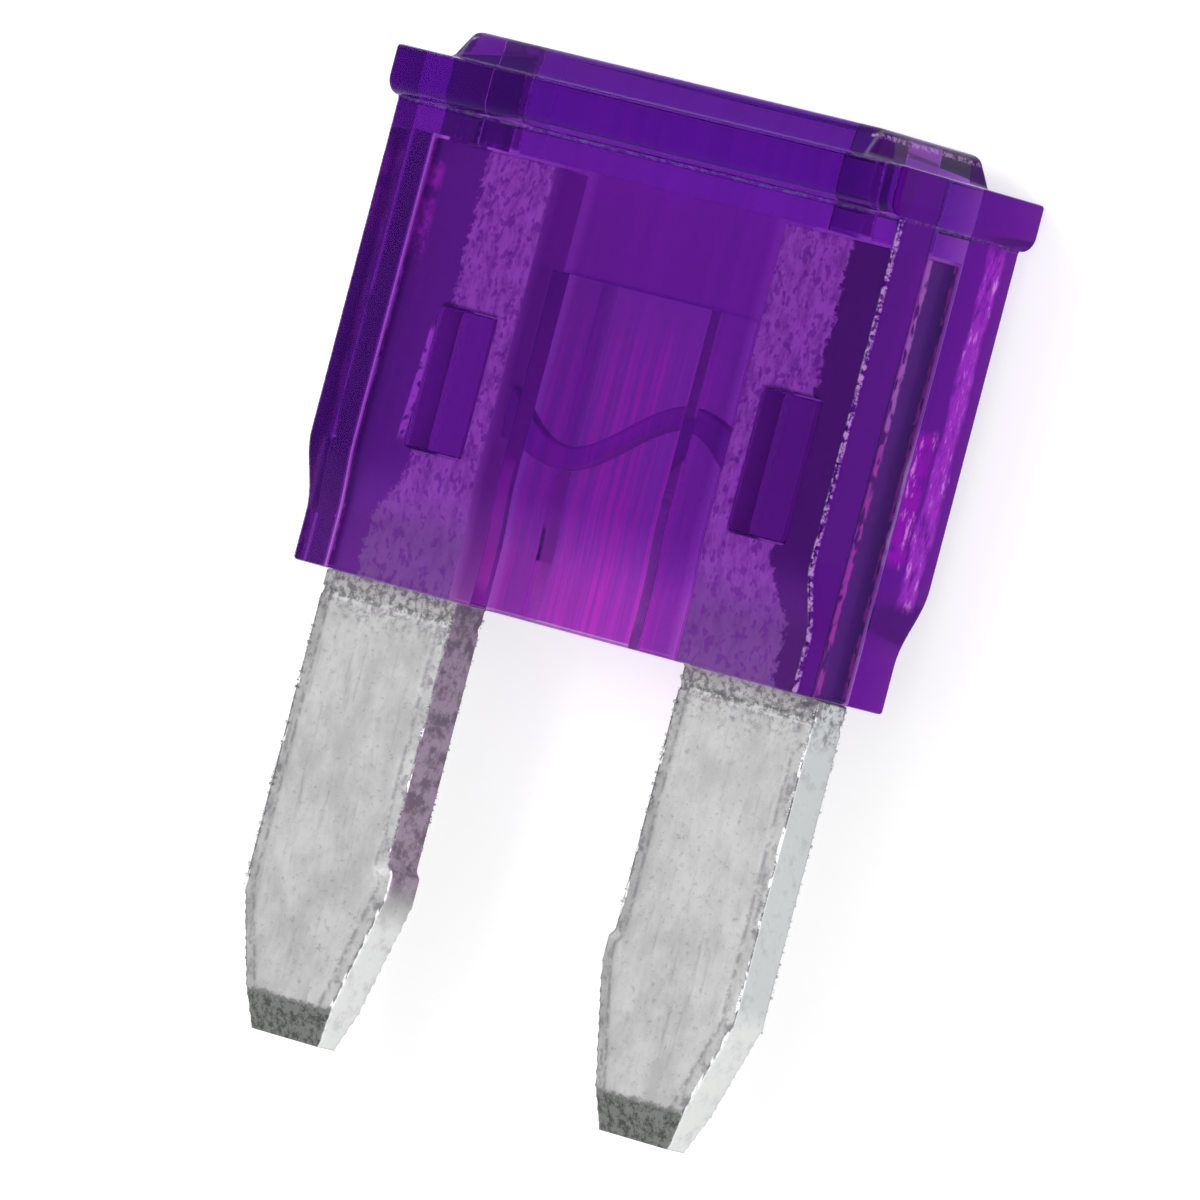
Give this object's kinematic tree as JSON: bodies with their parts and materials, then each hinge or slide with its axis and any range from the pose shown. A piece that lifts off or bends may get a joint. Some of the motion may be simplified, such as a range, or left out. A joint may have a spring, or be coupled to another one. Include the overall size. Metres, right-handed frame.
{
  "type": "miniature automotive blade fuse",
  "caption": "Plug-in blade fuse: a translucent violet housing with a lipped head, staked onto a stamped metal element with flat tapered blades.",
  "frame": {"origin": "centre of the bounding box in X and Y, on the surface that the fuse lies on, at the back of the head", "axes": "+X across the blades, +Y along the blades towards the head, +Z out of the broad front face"},
  "size_m": [0.011, 0.0164, 0.0036],
  "materials": {
    "violet_plastic": "translucent gloss",
    "tinned_zinc": "matte tinned, mottled"
  },
  "bodies": {
    "root": {"housing": "violet_plastic", "fuse_element": "tinned_zinc"}
  },
  "joints": []
}
